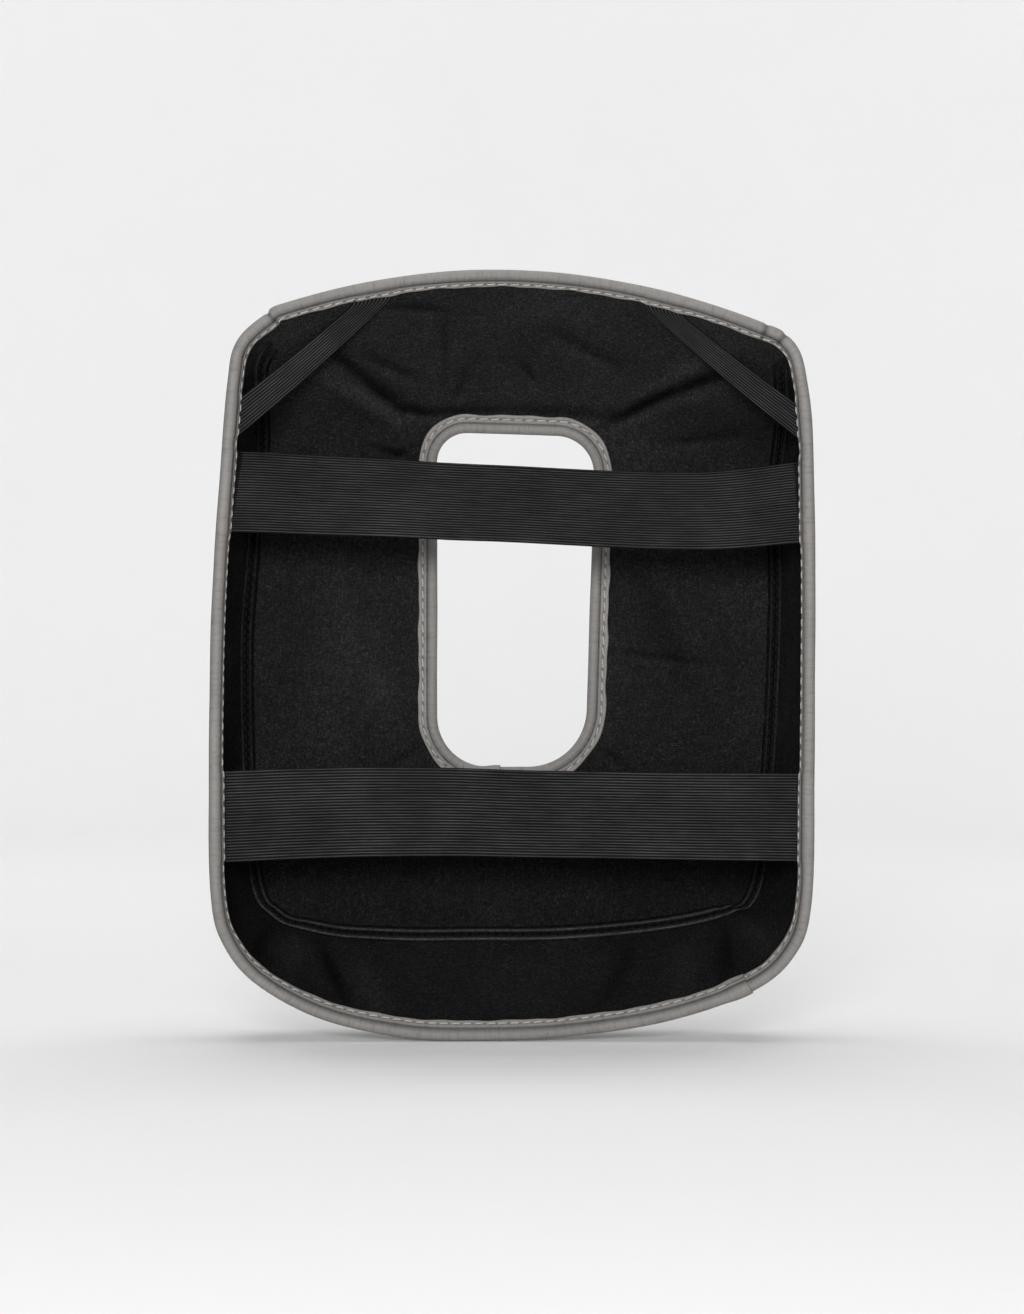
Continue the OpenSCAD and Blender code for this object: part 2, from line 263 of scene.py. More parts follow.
# Window outline, from its upper left corner down the left side and round, under the binding.
def window_outline():
    l, r = window_x - window_w / 2 - 0.9, window_x + window_w / 2 + 1.5
    t, b = window_z + window_h / 2, window_z - window_h / 2
    left_r, right_r = window_foot_r + 1, window_foot_r + 6
    corners = [(l + window_top_r, t - window_top_r, window_top_r, 90),
               (l + left_r, b + left_r, left_r, 180),
               (r - window_taper - 1.6 - right_r, b + right_r, right_r, 270),
               (r - window_top_r - 5, t - window_top_r - 6.5, window_top_r + 5, 0)]
    pts = []
    for x, z, rad, start in corners:
        a = np.radians(start + 90 * np.linspace(0, 1, 25))
        pts.append(np.column_stack([x + rad * np.cos(a), z + rad * np.sin(a)]))
    pts = np.vstack(pts)
    pts = np.roll(pts, -12, axis=0)
    return np.vstack([pts, pts[:1]])


window_path = window_outline()
window_length = lengths(window_path)[-1]


def at_window(s):
    """Outline point and outward direction at distance s round the window."""
    s = np.asarray(s, float) % window_length
    p = resample(window_path, s)
    a = resample(window_path, (s + 1.5) % window_length)
    b = resample(window_path, (s - 1.5) % window_length)
    t = unit(a - b)
    return p, np.column_stack([t[:, 1], -t[:, 0]])


def on_window(s, w, h):
    shape = np.broadcast_shapes(np.shape(s), np.shape(w), np.shape(h))
    s, w, h = (np.broadcast_to(v, shape).ravel().astype(float) for v in (s, w, h))
    p, n = at_window(s)
    q = p + n * w[:, None]
    out = np.column_stack([q[:, 0], panel_y(q[:, 0], q[:, 1]), q[:, 1]])
    out = out + panel_normal(q[:, 0], q[:, 1]) * h[:, None]
    return out.reshape(shape + (3,))


# ---------------------------------------------------------------- meshes
def grid_object(name, pts, material, close_u=False, uv=None, shade=None):
    """A closed quad mesh from a grid of points in mm: u runs along the piece and v round its section.

    Its two ends are capped unless close_u joins them."""
    nu, nv = pts.shape[:2]
    verts = (pts.reshape(-1, 3) * MM).tolist()
    a, b = np.meshgrid(np.arange(nu if close_u else nu - 1), np.arange(nv), indexing="ij")
    a2, b2 = (a + 1) % nu, (b + 1) % nv
    quads = np.stack([a * nv + b, a2 * nv + b, a2 * nv + b2, a * nv + b2], axis=-1).reshape(-1, 4)
    faces = quads.tolist()
    if not close_u:
        faces.append(list(range(nv)))
        faces.append([(nu - 1) * nv + k for k in range(nv - 1, -1, -1)])
    mesh = bpy.data.meshes.new(name)
    mesh.from_pydata(verts, [], faces)
    if uv is not None:
        su = np.broadcast_to(uv[0], (nu, nv))
        sv = np.broadcast_to(uv[1], (nu, nv))
        table = np.stack([su, sv], axis=-1).reshape(-1, 2) * MM
        layer = mesh.uv_layers.new(name="UVMap")
        loops = np.empty(len(mesh.loops), dtype=np.int32)
        mesh.loops.foreach_get("vertex_index", loops)
        layer.data.foreach_set("uv", table[loops].astype(np.float32).ravel())
    if shade is not None:
        tone = np.broadcast_to(shade, (nu, nv)).ravel()
        mesh.attributes.new("shade", "FLOAT", "POINT").data.foreach_set("value", tone.astype(np.float32))
    return finish_mesh(name, mesh, material)


def finish_mesh(name, mesh, material):
    """An object of that mesh with its material and slot, and a plain shade where it has none."""
    if "shade" not in mesh.attributes:
        mesh.attributes.new("shade", "FLOAT", "POINT").data.foreach_set("value", [1.0] * len(mesh.vertices))
    mesh.validate()
    mesh.polygons.foreach_set("use_smooth", [True] * len(mesh.polygons))
    obj = bpy.data.objects.new(name, mesh)
    bpy.context.scene.collection.objects.link(obj)
    obj.data.materials.append(material)
    fix_normals(obj)
    return obj


def fix_normals(obj):
    """Faces look outwards, and the caps are flat with sharp edges."""
    bm = bmesh.new()
    bm.from_mesh(obj.data)
    bmesh.ops.recalc_face_normals(bm, faces=bm.faces)
    for face in bm.faces:
        if len(face.verts) > 8:     # a cap
            face.smooth = False
            for e in face.edges:
                e.smooth = False
    bm.to_mesh(obj.data)
    bm.free()


def stitch_template(length, width, height, sides=8, rings=9):
    """A thread dash that dives down at both ends, along x, as (points, quads)."""
    pts, faces = [], []
    for i in range(rings):
        t = i / (rings - 1) * 2 - 1
        x = t * length / 2
        lift = height * (1 - abs(t) ** 4) - 0.35 * abs(t) ** 8
        fat = 0.55 + 0.45 * (1 - abs(t) ** 6)
        for k in range(sides):
            a = 2 * math.pi * k / sides
            pts.append((x, width / 2 * fat * math.cos(a), lift - height / 2 + height / 2 * fat * math.sin(a)))
    for i in range(rings - 1):
        for k in range(sides):
            l = (k + 1) % sides
            faces.append((i * sides + k, (i + 1) * sides + k, (i + 1) * sides + l, i * sides + l))
    faces.append(tuple(range(sides)))
    faces.append(tuple((rings - 1) * sides + k for k in range(sides - 1, -1, -1)))
    return np.array(pts), faces


def stitch_row(name, points, normals, material, pitch=stitch_pitch, fill=0.74, width=0.95, height=0.7,
               slant=0.06, seed=1, closed=True):
    """Dashes of thread along a path of points and normals in mm, joined in one object."""
    rng = np.random.default_rng(seed)
    if closed:
        points, normals = np.vstack([points, points[:1]]), np.vstack([normals, normals[:1]])
    total = lengths(points)[-1]
    count = int(round(total / pitch))
    tmpl, tf = stitch_template(pitch * fill, width, height)
    verts, faces = [], []
    for i in range(count):
        s = (i + 0.5) * total / count + rng.normal(0, 0.12)
        half = pitch * fill / 2
        a, c, b = resample(points, np.clip([s - half, s, s + half], 0, total))
        n = unit(resample(normals, np.array([s]), points)[0])
        e = unit(b - a)
        f = unit(np.cross(n, e))
        g = np.cross(e, f)
        turn = slant + rng.normal(0, 0.03)
        e, f = e * math.cos(turn) + f * math.sin(turn), f * math.cos(turn) - e * math.sin(turn)
        bow = (c - (a + b) / 2)
        local = tmpl * np.array([1 + rng.normal(0, 0.03), 1, 1])
        curve = 1 - (2 * local[:, 0] / (pitch * fill)) ** 2
        p = (a + b) / 2 + local[:, :1] * e + local[:, 1:2] * f + local[:, 2:] * g + curve[:, None] * bow
        base = len(verts)
        verts.extend((p * MM).tolist())
        faces.extend(tuple(base + q for q in face) for face in tf)
    mesh = bpy.data.meshes.new(name)
    mesh.from_pydata(verts, [], faces)
    return finish_mesh(name, mesh, material)


# ---------------------------------------------------------------- materials
class Nodes:
    """Short hand for building a material's node tree."""

    def __init__(self, name):
        self.mat = bpy.data.materials.new(name)
        self.mat.use_nodes = True
        self.tree = self.mat.node_tree
        self.bsdf = self.tree.nodes["Principled BSDF"]

    def add(self, kind, inputs=None, **props):
        node = self.tree.nodes.new(kind)
        for key, value in props.items():
            setattr(node, key, value)
        for key, value in (inputs or {}).items():
            self.put(node.inputs[key], value)
        return node

    def put(self, socket, value):
        if isinstance(value, bpy.types.NodeSocket):
            self.tree.links.new(value, socket)
        else:
            socket.default_value = value

    def math(self, op, a, b=0.0, c=0.0):
        node = self.add("ShaderNodeMath", operation=op)
        for k, v in enumerate((a, b, c)):
            self.put(node.inputs[k], v)
        return node.outputs[0]

    def noise(self, scale, detail=4.0, rough=0.6, vector=None, distortion=0.0):
        node = self.add("ShaderNodeTexNoise", {"Scale": scale, "Detail": detail, "Roughness": rough,
                                               "Distortion": distortion})
        self.put(node.inputs["Vector"], vector or self.place())
        return node.outputs["Fac"]

    def place(self, scale=None):
        coord = self.add("ShaderNodeTexCoord").outputs["Object"]
        if scale is None:
            return coord
        return self.add("ShaderNodeMapping", {"Vector": coord, "Scale": scale}).outputs["Vector"]

    def uv(self):
        return self.add("ShaderNodeUVMap", uv_map="UVMap").outputs["UV"]

    def ramp(self, value, stops):
        node = self.add("ShaderNodeValToRGB", {"Fac": value})
        while len(node.color_ramp.elements) < len(stops):
            node.color_ramp.elements.new(0.5)
        for element, (place, colour) in zip(node.color_ramp.elements, stops):
            element.position = place
            element.color = colour if len(colour) == 4 else (*colour, 1)
        return node.outputs["Color"]

    def remap(self, value, a, b, c, d):
        limits = {"From Min": a, "From Max": b, "To Min": c, "To Max": d}
        return self.add("ShaderNodeMapRange", {"Value": value, **limits}).outputs["Result"]

    def bump(self, height, strength, distance, normal=None):
        node = self.add("ShaderNodeBump", {"Height": height, "Strength": strength, "Distance": distance})
        if normal is not None:
            self.put(node.inputs["Normal"], normal)
        return node.outputs["Normal"]

    def shaded(self, colour):
        """The colour, darkened or lightened by the mesh's shade attribute: painted shade in creases, folds,
        grooves and along the binding's edges, painted highlights on ridges and along the bead.
        """
        node = self.add("ShaderNodeMix", data_type="RGBA", blend_type="MULTIPLY", clamp_result=False)
        node.inputs[0].default_value = 1.0
        self.put(node.inputs[6], colour)
        self.put(node.inputs[7], self.add("ShaderNodeAttribute", attribute_name="shade").outputs["Color"])
        return node.outputs[2]

    def finish(self, **inputs):
        for key, value in inputs.items():
            self.put(self.bsdf.inputs[key.replace("_", " ")], value)
        return self.mat


def grey(v, warm=0.0):
    return (v * (1 + warm), v, v * (1 - warm))


def leather(name, base, grain_mm, depth, wrinkles=0.0):
    n = Nodes(name)
    cells = n.add("ShaderNodeTexVoronoi", {"Scale": 1000 / grain_mm, "Vector": n.place(), "Randomness": 0.95},
                  feature="DISTANCE_TO_EDGE").outputs["Distance"]
    pebble = n.remap(cells, 0.0, 0.35, 0.0, 1.0)
    fine = n.noise(2600, 3, 0.6)
    broad = n.noise(28, 4, 0.55)
    shade = n.ramp(broad, [(0.3, tuple(c * 0.93 for c in base)), (0.7, tuple(c * 1.06 for c in base))])
    worn = n.ramp(n.math("MULTIPLY", pebble, 1.0), [(0.0, (0.82, 0.82, 0.82)), (0.5, (1.0, 1.0, 1.0))])
    tint = n.add("ShaderNodeMix", data_type="RGBA", blend_type="MULTIPLY")
    n.put(tint.inputs[0], 0.6)
    n.put(tint.inputs[6], shade)
    n.put(tint.inputs[7], worn)
    low = n.bump(broad, 0.25, 0.0012)
    colour = n.shaded(tint.outputs[2])
    if wrinkles:
        stretched = n.add("ShaderNodeMapping", {"Vector": n.uv(), "Scale": (520.0, 90.0, 1.0)}).outputs[0]
        gather = n.noise(1.0, 4, 0.65, stretched, 0.5)
        low = n.bump(gather, wrinkles, 0.0007, low)
        mottle = n.add("ShaderNodeMix", data_type="RGBA", blend_type="MULTIPLY")
        mottle.inputs[0].default_value = 0.8
        n.put(mottle.inputs[6], colour)
        n.put(mottle.inputs[7], n.ramp(gather, [(0.30, (0.70, 0.68, 0.66)), (0.52, (1.0, 1.0, 1.0))]))
        colour = mottle.outputs[2]
    skin = n.bump(pebble, 0.5, depth, low)
    pores = n.bump(fine, 0.25, depth * 0.5, skin)
    rough = n.remap(n.noise(300, 3), 0.3, 0.7, 0.44, 0.56)
    return n.finish(Base_Color=colour, Roughness=rough, Normal=pores, Specular_IOR_Level=0.30)


def felt_material():
    n = Nodes("black_felt")
    clumps = n.noise(780, 6, 0.70, distortion=0.6)
    strands_a = n.noise(1500, 4, 0.7, n.place((1.0, 1.0, 0.20)), 1.4)
    strands_b = n.noise(1500, 4, 0.7, n.place((0.22, 1.0, 1.0)), 1.4)
    strands = n.math("MAXIMUM", strands_a, strands_b)
    broad = n.noise(22, 4, 0.6)
    tone = n.math("ADD", n.math("MULTIPLY", strands, 0.62), n.math("MULTIPLY", clumps, 0.38))
    tone = n.math("ADD", tone, n.math("MULTIPLY", n.math("SUBTRACT", broad, 0.5), 0.10))
    colour = n.ramp(tone, [(0.40, grey(0.0045)), (0.53, grey(0.015)), (0.62, grey(0.036)), (0.72, grey(0.078))])
    colour = n.shaded(colour)
    soft = n.bump(broad, 0.35, 0.004)
    lumps = n.bump(clumps, 0.9, 0.0011, soft)
    hairs = n.bump(strands, 0.9, 0.0006, lumps)
    return n.finish(Base_Color=colour, Roughness=1.0, Specular_IOR_Level=0.0, Normal=hairs)


RIB_PITCH = 1.55


def elastic_material():
    n = Nodes("black_elastic")
    sep = n.add("ShaderNodeSeparateXYZ", {"Vector": n.uv()})
    u, v = sep.outputs["X"], sep.outputs["Y"]
    rib = n.math("ABSOLUTE", n.math("SINE", n.math("MULTIPLY", v, math.pi / (RIB_PITCH * MM))))
    knit = n.math("SINE", n.math("ADD", n.math("MULTIPLY", u, 2 * math.pi / 0.00062),
                                 n.math("MULTIPLY", rib, 2.2)))
    knit = n.math("MULTIPLY_ADD", knit, 0.5, 0.5)
    fuzz = n.noise(1500, 4, 0.7)
    broad = n.noise(35, 3, 0.5)
    # crest makes the ribs' tops lighter and the grooves between them darker: painted highlight and painted
    # shade on the ribs.
    crest = n.math("POWER", rib, 2.5)
    drawn_out = n.add("ShaderNodeMapping", {"Vector": n.uv(), "Scale": (60.0, 700.0, 1.0)}).outputs[0]
    streak = n.noise(1.0, 3, 0.6, drawn_out)
    tone = n.math("ADD", n.math("MULTIPLY", crest, 0.64), n.math("MULTIPLY", knit, 0.12))
    tone = n.math("ADD", tone, n.math("MULTIPLY", fuzz, 0.18))
    tone = n.math("ADD", tone, n.math("MULTIPLY", n.math("SUBTRACT", streak, 0.5), 0.36))
    tone = n.math("ADD", tone, n.math("MULTIPLY", n.math("SUBTRACT", broad, 0.5), 0.3))
    colour = n.ramp(tone, [(0.10, grey(0.0020)), (0.40, grey(0.007)), (0.66, grey(0.022)), (0.92, grey(0.072))])
    threads = n.bump(knit, 0.5, 0.00022)
    hairs = n.bump(fuzz, 0.4, 0.0002, threads)
    return n.finish(Base_Color=colour, Roughness=0.75, Specular_IOR_Level=0.10, Normal=hairs)


def thread_material(name, base, shine=0.4):
    n = Nodes(name)
    twist = n.add("ShaderNodeTexWave", {"Scale": 420.0, "Distortion": 1.2, "Detail": 2.0, "Vector": n.place()},
                  bands_direction="DIAGONAL").outputs["Fac"]
    tone = n.noise(240, 3)
    dark, light = tuple(c * 0.6 for c in base), tuple(min(1, c * 1.25) for c in base)
    colour = n.ramp(n.math("ADD", n.math("MULTIPLY", twist, 0.6), n.math("MULTIPLY", tone, 0.5)),
                    [(0.2, dark), (0.6, base), (1.0, light)])
    ply = n.bump(twist, 0.5, 0.00015)
    return n.finish(Base_Color=colour, Roughness=0.62, Specular_IOR_Level=shine, Normal=ply)


SKIN = leather("grey_skin", grey(0.185, 0.035), 1.1, 0.00022)
BINDING = leather("grey_binding", grey(0.192, 0.045), 0.7, 0.00012, 0.7)
FELT = felt_material()
ELASTIC = elastic_material()
PALE = thread_material("pale_thread", (0.40, 0.375, 0.35))
BLACK = thread_material("black_thread", (0.009, 0.009, 0.009), 0.05)


# ---------------------------------------------------------------- soft shape of the shell
# Creases of the lining: from and to (x, z), depth and half width; a negative depth is a ridge.
creases = [
    ((-48, 348), (-64, 351), 2.6, 4.0), ((-62, 350), (-84, 366), 3.2, 5.5), ((-82, 365), (-102, 380), 2.6, 6.0),
    ((-66, 343), (-104, 366), -2.2, 7.0), ((-50, 348), (-10, 350), 2.2, 3.6), ((-12, 350), (56, 347), 1.8, 5.0),
    ((54, 342), (88, 358), 3.0, 4.5), ((86, 357), (122, 368), 2.4, 5.5), ((62, 352), (118, 378), -1.8, 7.0),
    ((-38, 359), (-37, 400), 1.5, 2.8), ((-72, 403), (-38, 402), 1.3, 2.6), ((-80, 330), (-56, 323), 1.6, 2.8),
    ((-76, 321), (-54, 330), 1.2, 2.2), ((-34, 352), (-24, 372), 1.2, 3.0), ((2, 378), (14, 364), 1.2, 3.2),
    ((-100, 250), (-60, 150), -1.2, 14.0), ((70, 260), (110, 170), 1.2, 12.0),
    ((56, 214), (116, 206), 1.1, 4.0),
    ((-120, 108), (-60, 98), 1.2, 8.0), ((84, 331), (128, 336), 1.4, 3.4), ((20, 392), (62, 372), 1.3, 4.0),
    ((-86, 380), (-52, 366), 1.4, 4.0), ((-52, 160), (-70, 148), 1.2, 3.6), ((52, 158), (66, 146), 1.2, 3.6),
]


def crease_depth(x, z, width=1.0):
    """Height of the creases at a point of the panel, in mm; width makes them all narrower or wider."""
    out = np.zeros(np.shape(x))
    for (x1, z1), (x2, z2), deep, wide in creases:
        d = np.array([x2 - x1, z2 - z1], float)
        t = np.clip(((x - x1) * d[0] + (z - z1) * d[1]) / (d @ d), 0, 1)
        away = np.hypot(x - x1 - t * d[0], z - z1 - t * d[1])
        along = 0.35 + 0.65 * np.sin(np.pi * np.clip(t, 0.04, 0.96))
        out -= deep * bump(away, 0.0, wide * width) * along
    return out


def shell_sway(p):
    """Slow unevenness of the whole sandwich, the same for every layer, in mm."""
    return 0.9 * wobble(p, 70.0, 3.0) + 0.35 * wobble(p, 24.0, 7.0)


def panel_outline(h):
    """Edge of the panel layer at height h, as x and z, one row for each rim station."""
    pts = on_wall(rim_s, 0.0, np.full(RIM_N, h))
    walls = reach(rim_s[:GUSSET_N], np.full(GUSSET_N, h))
    pts[:GUSSET_N] = on_wall(rim_s[:GUSSET_N], walls, np.full(GUSSET_N, h))
    return pts[:, [0, 2]]


outline = panel_outline(0.0)
outline_d = lengths(np.vstack([outline, outline[:1]]))
window_share = outline_d[:-1] / outline_d[-1]


def panel_surface(h, rings, relief=None):
    """Grid of points of the panel at height h, from the window to the seam: stations x rings."""
    ends = panel_outline(h)
    starts, _ = at_window(window_share * window_length)
    x = starts[:, None, 0] + (ends[:, None, 0] - starts[:, None, 0]) * rings[None, :]
    z = starts[:, None, 1] + (ends[:, None, 1] - starts[:, None, 1]) * rings[None, :]
    y = panel_depth(x, z, h)
    p = np.stack([x, y, z], axis=-1)
    span = np.hypot(ends[:, 0] - starts[:, 0], ends[:, 1] - starts[:, 1])[:, None]
    from_edge = (1 - rings[None, :]) * span
    from_window = rings[None, :] * span
    free = ease((from_edge - 3) / 30) * ease((from_window - 8) / 22)
    lift = shell_sway(p) * free
    if relief is not None:
        lift = lift + relief(x, z, from_edge, from_window)
    return p + panel_normal(x, z) * lift[..., None]


def shares(wide, fine):
    """Shares from 0 to 1 of the way to the seam, closer together over the last tenth."""
    return np.concatenate([np.linspace(0, 0.9, wide)[:-1], np.linspace(0.9, 1.0, fine)])


RINGS = shares(66, 12)


def felt_relief(x, z, from_edge, from_window):
    p = np.stack([x, 0 * x, z], axis=-1)
    fuzz = 0.20 * wobble(p, 5.0, 1.0) + 0.16 * wobble(p, 2.3, 2.0)
    crumple = 0.7 * wobble(p, 17.0, 9.0) * (0.35 + 0.65 * ease((z - 315) / 40))
    relief = crease_depth(x, z) + crumple
    return relief * ease(from_edge / 8) * ease((from_window - 6) / 9) + fuzz * ease(from_edge / 3)


def skin_relief(x, z, from_edge, from_window):
    """The outer skin dips into its seam, and swells a little beside it."""
    in_gusset = (np.arange(RIM_N) < GUSSET_N)[:, None]
    dip = 1.5 * np.maximum(0, 1 - from_edge / 2.6) ** 2 - 0.35 * bump(from_edge, 6.5, 2.6)
    return np.where(in_gusset, dip, 0.0)


def panel_piece(name, h0, h1, material, relief0, relief1):
    a = panel_surface(h0, RINGS, relief=relief0)
    b = panel_surface(h1, RINGS, relief=relief1)
    pts = np.concatenate([a, b[:, ::-1]], axis=1)
    tone = np.ones(pts.shape[:2])
    if relief0 is felt_relief:
        x, z = a[..., 0], a[..., 2]
        # Painted light and shade on the felt: darker in the creases' valleys, a painted highlight on the lower
        # side of each crease where it faces up, painted shade on its upper side, darker towards the bottom and
        # lighter along the top middle.
        crease_highlight = crease_depth(x, z - 2.0, 0.7) - crease_depth(x, z + 2.0, 0.7)
        middle = 1 - ease((np.abs(x) - 60) / 50)
        shade_by_height = 0.66 + 0.33 * ease((z - 85) / 90) + 0.15 * ease((z - 330) / 40) * middle
        tone[:, :len(RINGS)] = shade_by_height * np.clip(1.0 + 0.20 * crease_depth(x, z, 0.6) + 0.20 * crease_highlight, 0.3, 1.9)
    return grid_object(name, pts, material, close_u=True, shade=tone)


lining_panel = panel_piece("lining_panel_felt", 0.0, -felt_t, FELT, felt_relief, None)
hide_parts("lining_panel")
SKIN_IN, SKIN_OUT = -felt_t - 0.05, -wall_t - 0.05       # faces of the skin, a hair off the felt
outer_panel = panel_piece("outer_panel_skin", SKIN_IN, SKIN_OUT, SKIN, None, skin_relief)
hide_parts("outer_panel")

gs = rim_s[:GUSSET_N]
WALL_V = shares(30, 10)


# Folds of the wall: x and z of their middle on the rim, height, half width and slant.
folds = [(-130, 31, 1.9, 9, 0.6), (-104, 18, -2.4, 4.5, 1.7), (-84, 12, 1.9, 9, 1.5), (-146, 46, -1.6, 6, 0.6),
         (126, 31, -2.0, 6, -0.9), (147, 48, 1.8, 9, -0.3), (102, 20, 1.6, 9, -1.2), (60, 11, -1.3, 6, -1.4)]


def wall_folds(s, v):
    """Height of the wall's folds at distance s round the rim and share v of the way down, in mm."""
    out = np.zeros(np.broadcast_shapes(np.shape(s), np.shape(v)))
    belly = np.sin(np.pi * np.clip(v, 0, 1))
    for cx, cz, deep, wide, tilt in folds:
        centre = float(rim_s[np.argmin(np.hypot(edge[:, 0] - cx, edge[:, 2] - cz))])
        out += deep * bump(s + tilt * 26 * (v - 0.5), centre, wide) * belly * (0.4 + 0.6 * v)
    return out


def wall_surface(h, relief):
    w = reach(gs, np.full(GUSSET_N, h))
    v = WALL_V[None, :]
    s = np.repeat(gs[:, None], len(WALL_V), axis=1)
    ww = w[:, None] * v
    flat = on_wall(s, ww, np.full(s.shape, h))
    n = unit(at_rim(s, into))
    free = ease((ww - 8) / 14) * ease((w[:, None] - ww - 2) / 12)
    belly = -2.2 * np.sin(np.pi * v) * ease((w[:, None] - 20) / 40)
    lift = shell_sway(flat) * free + wall_folds(s, v) * ease((w[:, None] - 20) / 30) + belly
    lift = lift + relief(flat, s, ww, w[:, None])
    return flat + n * lift[..., None]


def felt_wall_relief(p, s, ww, w):
    fuzz = 0.16 * wobble(p, 5.0, 1.0) + 0.10 * wobble(p, 2.3, 2.0)
    gather = 0.55 * np.sin(2 * np.pi * s / 5.2) * bump(w - ww, 2.0, 5.0) * ease((p[..., 2] - 325) / 20)
    return (fuzz + gather) * ease(ww / 6) * ease((w - ww) / 2)


def skin_wall_relief(p, s, ww, w):
    a = w - ww
    return 1.5 * np.maximum(0, 1 - a / 2.6) ** 2 - 0.35 * bump(a, 6.5, 2.6)


def no_relief(p, s, ww, w):
    return 0.0


def wall_piece(name, h0, h1, material, relief0, relief1):
    pts = np.concatenate([wall_surface(h0, relief0), wall_surface(h1, relief1)[:, ::-1]], axis=1)
    tone = np.ones(pts.shape[:2])
    if relief0 is felt_wall_relief:
        # Painted shade on the felt wall: darker in the folds' hollows, lighter on their crests, and darker
        # towards the bottom.
        height = wall_folds(gs[:, None], WALL_V[None, :])
        shade_by_height = 0.68 + 0.32 * ease((at_rim(gs, edge)[:, 2] - 90) / 90)
        tone[:, :len(WALL_V)] = np.clip(1.0 + 0.34 * height, 0.4, 2.0) * shade_by_height[:, None]
    return grid_object(name, pts, material, shade=tone)


lining_gusset = wall_piece("lining_gusset_felt", 0.0, -felt_t, FELT, felt_wall_relief, no_relief)
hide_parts("lining_gusset")
outer_gusset = wall_piece("outer_gusset_skin", SKIN_IN, SKIN_OUT, SKIN,
                          no_relief, skin_wall_relief)
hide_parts("outer_gusset")


# ---------------------------------------------------------------- seam allowance inside, with its two ridges
def beside_seam(s, a, h):
    """A point on the panel's lining, a in from the seam and h above it."""
    s, a, h = np.broadcast_arrays(s, a, h)
    p = on_wall(s, reach(s, np.zeros(s.shape)), np.zeros(s.shape))
    n = at_rim(s, rim_in)
    x, z = p[..., 0] + a * n[..., 0], p[..., 2] + a * n[..., 1]
    base = np.stack([x, panel_y(x, z), z], axis=-1)
    return base + panel_normal(x, z) * h[..., None]


def ridge_height(a):
    return 3.2 * bump(a, 1.0, 1.05) + 2.7 * bump(a, 5.7, 0.95) + 0.3 * bump(a, 3.5, 3.0)


seam_s = np.arange(9.0, corner_at - 11.0, 1.3)
ridge_a = np.linspace(-0.6, 8.2, 34)
fade = ease((seam_s - 9.0) / 16.0) * ease((seam_s[-1] - seam_s) / 16.0)
strength = 0.45 + 0.55 * ease((110 - at_rim(seam_s, edge)[:, 2]) / 60) + 0.15 * (at_rim(seam_s, edge)[:, 0] < 0)
strength = strength * (0.25 + 0.75 * fade)
pucker = 1 + 0.16 * np.sin(2 * np.pi * seam_s / 5.0) + 0.12 * wobble(at_rim(seam_s, edge), 9.0, 4.0)
crest = (strength * pucker)[:, None] * ridge_height(ridge_a)[None, :] + 0.12
crest += 0.08 * wobble(beside_seam(seam_s[:, None], ridge_a[None, :], 0.0), 2.2, 5.0)
crest[:, 0] = crest[:, -1] = -0.4
upper_side = beside_seam(seam_s[:, None], ridge_a[None, :], crest)
lower_side = beside_seam(seam_s[:, None], ridge_a[None, ::-1], -0.6)
# Painted light on the seam ridges: painted highlights along both crests, stronger low down, and painted shade
# in the valley beside them; it fades out with the ridges.
low_down = ease((100 - at_rim(seam_s, edge)[:, 2]) / 60)
crest_highlight = bump(ridge_a, 0.9, 1.0) + 0.8 * bump(ridge_a, 5.7, 0.8)
ridge_light_and_shade = 0.30 + crest_highlight[None, :] * (1.0 + 3.4 * low_down)[:, None]
ridge_light_and_shade = 0.6 + (ridge_light_and_shade - 0.6) * fade[:, None]
ridge_points = np.concatenate([upper_side, lower_side], axis=1)
ridge_shade = np.concatenate([ridge_light_and_shade, np.ones_like(ridge_light_and_shade)], axis=1)
seam_ridge = grid_object("seam_allowance_ridges", ridge_points, FELT, shade=ridge_shade)
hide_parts("seam_allowance")

for label, a in (("gusset_side", 2.7), ("panel_side", 4.4)):
    level = (strength * pucker) * ridge_height(np.array(a)) + 0.25
    pts = beside_seam(seam_s, np.full(seam_s.shape, a), level)
    nrm = beside_seam(seam_s, np.full(seam_s.shape, a), level + 1.0) - pts
    row = stitch_row("seam_thread_" + label, pts, nrm, BLACK, pitch=5.0, width=0.7, height=0.5,
                     seed=4, closed=False)
    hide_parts("seam_stitches_" + label)

# The outer skin's seam has a row of pale thread on each side.
for label in ("wall", "panel"):
    a = 4.2     # from the seam
    s = np.arange(10.0, corner_at - 10.0, 2.0)
    h = np.full(s.shape, SKIN_OUT)
    w = reach(s, h)
    if label == "wall":
        v = (w - a) / w
        swell = 2.2 * np.sin(np.pi * v) * ease((w - 20) / 40)
        pts = on_wall(s, w - a, h - 0.10) - unit(at_rim(s, into)) * swell[:, None]
        nrm = -at_rim(s, into)
    else:
        p = on_wall(s, w, h)
        n = at_rim(s, rim_in)
        x, z = p[:, 0] + a * n[:, 0], p[:, 2] + a * n[:, 1]
        nrm = -panel_normal(x, z)
        pts = np.stack([x, panel_depth(x, z, h), z], axis=-1) + nrm * 0.10
    row = stitch_row("outer_seam_thread_" + label, pts, nrm, PALE, pitch=5.5, width=0.85,
                     height=0.6, seed=6, closed=False)
    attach(row, "root")


# ---------------------------------------------------------------- bindings
BEAD_R, LEG_W, GROOVE_W, STITCH_W = 3.25, 8.0, 2.75, 5.4


